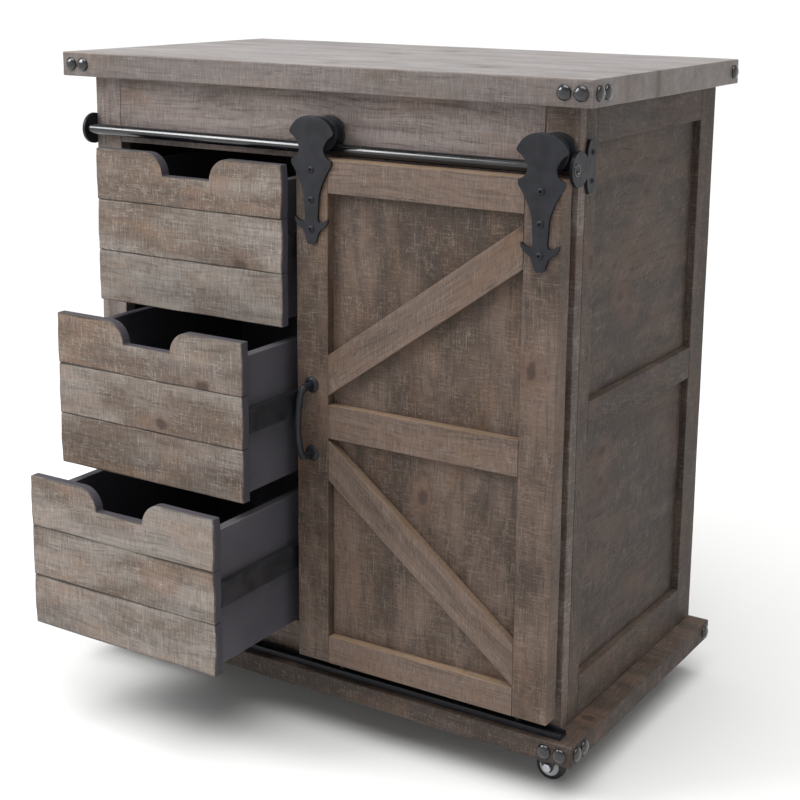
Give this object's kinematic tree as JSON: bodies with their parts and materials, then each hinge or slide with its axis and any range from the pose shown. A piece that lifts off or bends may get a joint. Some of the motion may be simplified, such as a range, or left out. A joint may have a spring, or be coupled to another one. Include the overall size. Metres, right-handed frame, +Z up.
{
  "type": "kitchen island cart",
  "caption": "Plank-built kitchen island cart on swivel casters, with open drawers on one side and a braced sliding barn door on a round rail.",
  "frame": {"origin": "on the floor, at the middle of the footprint with the drawers open as stored", "axes": "+X to the right along the front, +Y to the back, +Z up"},
  "size_m": [0.772, 0.594, 0.848],
  "materials": {
    "weathered_boards": "rough-sawn fir, grey-brown wash, worn to bare wood at the corners",
    "weathered_face": "rough-sawn fir, grey-brown wash",
    "weathered_sides": "rough-sawn fir, darker grey-brown wash",
    "plain_inner_wood": "plain planed boards with a thin stain",
    "weathered_fronts": "rough-sawn fir with hewn ends, grey-beige wash",
    "charcoal_paint": "matt charcoal paint over board",
    "black_slide_steel": "black dipped sheet steel",
    "weathered_door": "rough-sawn fir, brown-grey wash",
    "forged_black_iron": "forged iron, matt black powder coat",
    "gloss_black_enamel": "steel, gloss black enamel",
    "zinc_plate": "zinc-plated steel",
    "caster_steel": "pressed steel, black coat",
    "hub_nylon": "moulded light grey nylon",
    "tyre_rubber": "black rubber"
  },
  "bodies": {
    "cabinet": {"worktop": "weathered_boards", "base_board": "weathered_sides", "face_stiles": "weathered_face", "face_mullion": "weathered_face", "face_header": "weathered_face", "face_bottom_rail": "weathered_face", "side_stiles": "weathered_sides", "side_rails": "weathered_sides", "side_panels": "weathered_sides", "back_panel": "plain_inner_wood", "partition": "plain_inner_wood", "cupboard_floor": "plain_inner_wood", "shelf": "plain_inner_wood", "shelf_pins": "zinc_plate", "runner_blocks": "plain_inner_wood", "slide_channels": "black_slide_steel", "rail_bar": "gloss_black_enamel", "rail_plates": "forged_black_iron", "plate_screws": "forged_black_iron", "floor_guide": "forged_black_iron", "corner_studs": "gloss_black_enamel", "caster_plates": "caster_steel", "caster_screws": "zinc_plate"},
    "top_drawer": {"top_drawer_front": "weathered_fronts", "top_drawer_box": "charcoal_paint", "top_drawer_bottom": "charcoal_paint", "top_drawer_slides": "black_slide_steel"},
    "middle_drawer": {"middle_drawer_front": "weathered_fronts", "middle_drawer_box": "charcoal_paint", "middle_drawer_bottom": "charcoal_paint", "middle_drawer_slides": "black_slide_steel"},
    "bottom_drawer": {"bottom_drawer_front": "weathered_fronts", "bottom_drawer_box": "charcoal_paint", "bottom_drawer_bottom": "charcoal_paint", "bottom_drawer_slides": "black_slide_steel"},
    "door": {"door_stiles": "weathered_door", "door_rails": "weathered_door", "door_braces": "weathered_door", "door_panels": "weathered_door", "hanger_straps": "forged_black_iron", "hanger_screws": "forged_black_iron", "door_pull": "forged_black_iron", "guide_pins": "forged_black_iron"},
    "left_roller": {"left_roller": "forged_black_iron"},
    "right_roller": {"right_roller": "forged_black_iron"},
    "front_left_caster": {"front_left_fork": "caster_steel"},
    "front_left_wheel": {"front_left_hub": "hub_nylon", "front_left_tyre": "tyre_rubber"},
    "front_left_brake": {"front_left_brake": "caster_steel"},
    "front_right_caster": {"front_right_fork": "caster_steel"},
    "front_right_wheel": {"front_right_hub": "hub_nylon", "front_right_tyre": "tyre_rubber"},
    "front_right_brake": {"front_right_brake": "caster_steel"},
    "rear_left_caster": {"rear_left_fork": "caster_steel"},
    "rear_left_wheel": {"rear_left_hub": "hub_nylon", "rear_left_tyre": "tyre_rubber"},
    "rear_right_caster": {"rear_right_fork": "caster_steel"},
    "rear_right_wheel": {"rear_right_hub": "hub_nylon", "rear_right_tyre": "tyre_rubber"}
  },
  "joints": [
    {"name": "top_drawer_slide", "type": "slide", "parent": "cabinet", "child": "top_drawer", "axis": [0, -1, 0], "range_m": [-0.053, 0.197]},
    {"name": "middle_drawer_slide", "type": "slide", "parent": "cabinet", "child": "middle_drawer", "axis": [0, -1, 0], "range_m": [-0.134, 0.116]},
    {"name": "bottom_drawer_slide", "type": "slide", "parent": "cabinet", "child": "bottom_drawer", "axis": [0, -1, 0], "range_m": [-0.192, 0.058]},
    {"name": "door_slide", "type": "slide", "parent": "cabinet", "child": "door", "axis": [1, 0, 0], "range_m": [-0.006, 0]},
    {"name": "left_roller_spin", "type": "hinge", "parent": "door", "child": "left_roller", "pos_m": [0.024, -0.1175, 0.7653], "axis": [0, 1, 0], "range_deg": [-45, 0]},
    {"name": "right_roller_spin", "type": "hinge", "parent": "door", "child": "right_roller", "pos_m": [0.328, -0.1175, 0.7653], "axis": [0, 1, 0], "range_deg": [-45, 0]},
    {"name": "front_left_swivel", "type": "hinge", "parent": "cabinet", "child": "front_left_caster", "pos_m": [-0.308, -0.079, 0.052], "axis": [0, 0, 1], "continuous": true},
    {"name": "front_left_roll", "type": "hinge", "parent": "front_left_caster", "child": "front_left_wheel", "pos_m": [-0.286, -0.079, 0.019], "axis": [0, 1, 0], "continuous": true},
    {"name": "front_left_brake_press", "type": "hinge", "parent": "front_left_caster", "child": "front_left_brake", "pos_m": [-0.275, -0.079, 0.04], "axis": [0, 1, 0], "range_deg": [0, 25]},
    {"name": "front_right_swivel", "type": "hinge", "parent": "cabinet", "child": "front_right_caster", "pos_m": [0.308, -0.079, 0.052], "axis": [0, 0, 1], "continuous": true},
    {"name": "front_right_roll", "type": "hinge", "parent": "front_right_caster", "child": "front_right_wheel", "pos_m": [0.33, -0.079, 0.019], "axis": [0, 1, 0], "continuous": true},
    {"name": "front_right_brake_press", "type": "hinge", "parent": "front_right_caster", "child": "front_right_brake", "pos_m": [0.341, -0.079, 0.04], "axis": [0, 1, 0], "range_deg": [0, 25]},
    {"name": "rear_left_swivel", "type": "hinge", "parent": "cabinet", "child": "rear_left_caster", "pos_m": [-0.308, 0.241, 0.052], "axis": [0, 0, 1], "continuous": true},
    {"name": "rear_left_roll", "type": "hinge", "parent": "rear_left_caster", "child": "rear_left_wheel", "pos_m": [-0.286, 0.241, 0.019], "axis": [0, 1, 0], "continuous": true},
    {"name": "rear_right_swivel", "type": "hinge", "parent": "cabinet", "child": "rear_right_caster", "pos_m": [0.308, 0.241, 0.052], "axis": [0, 0, 1], "continuous": true},
    {"name": "rear_right_roll", "type": "hinge", "parent": "rear_right_caster", "child": "rear_right_wheel", "pos_m": [0.33, 0.241, 0.019], "axis": [0, 1, 0], "continuous": true}
  ],
  "couplings": [
    {"joint": "left_roller_spin", "follows": "door_slide", "rad_per_m": 97.087},
    {"joint": "right_roller_spin", "follows": "door_slide", "rad_per_m": 97.087}
  ]
}
